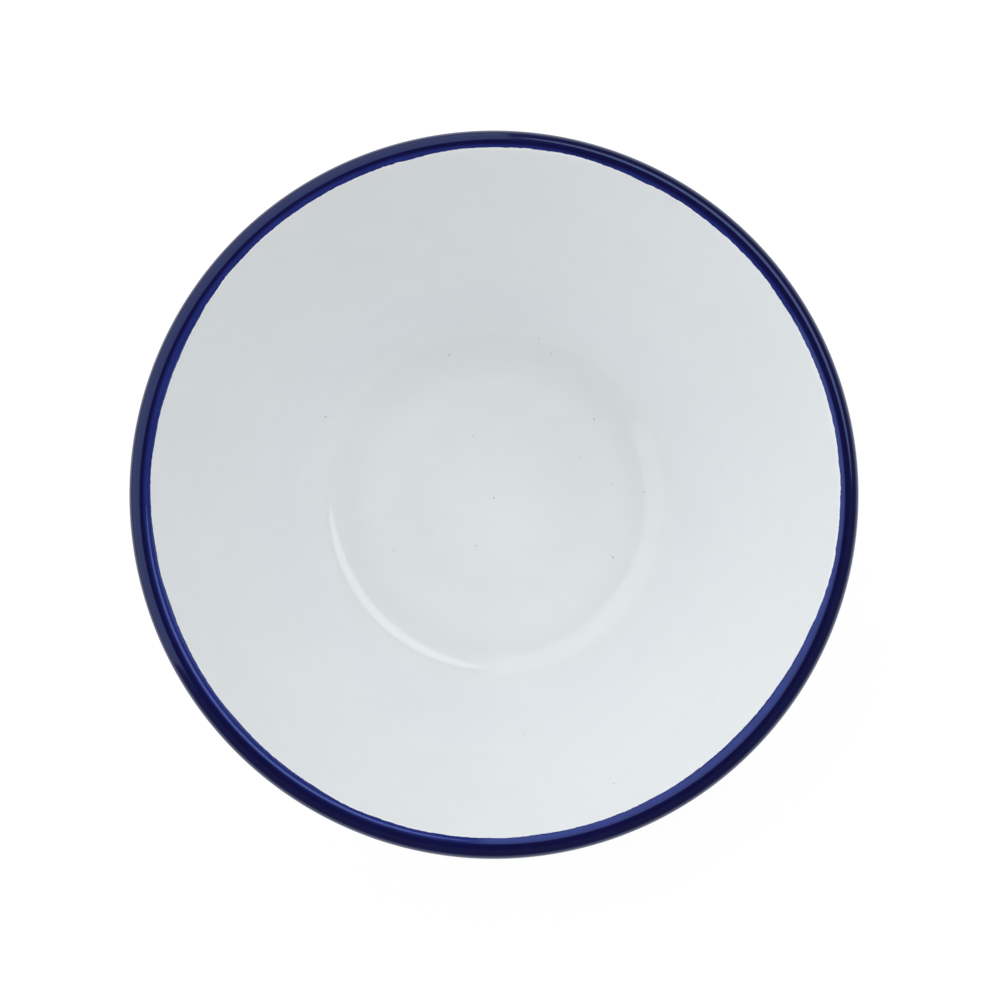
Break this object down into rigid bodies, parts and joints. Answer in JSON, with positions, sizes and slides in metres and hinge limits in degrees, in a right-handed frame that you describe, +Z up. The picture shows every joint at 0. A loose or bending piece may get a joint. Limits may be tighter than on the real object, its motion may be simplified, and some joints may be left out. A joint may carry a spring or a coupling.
{
  "type": "enamel basin bowl",
  "caption": "Round flared basin bowl of enamelled pressed steel, white with a blue rolled bead at the rim, standing on a flat ring.",
  "frame": {"origin": "centre of the standing ring, in the plane that the bowl rests on", "axes": "+Z up along the axis of the bowl, +X to the right and +Y to the top of the picture"},
  "size_m": [0.16, 0.16, 0.06],
  "materials": {
    "sheet_steel": "satin",
    "ground_enamel": "gloss",
    "white_enamel": "gloss",
    "blue_enamel": "gloss"
  },
  "bodies": {
    "root": {"steel_body": "sheet_steel", "ground_coat": "ground_enamel", "inner_cover_coat": "white_enamel", "outer_cover_coat": "white_enamel", "rim_coat": "blue_enamel"}
  },
  "joints": []
}
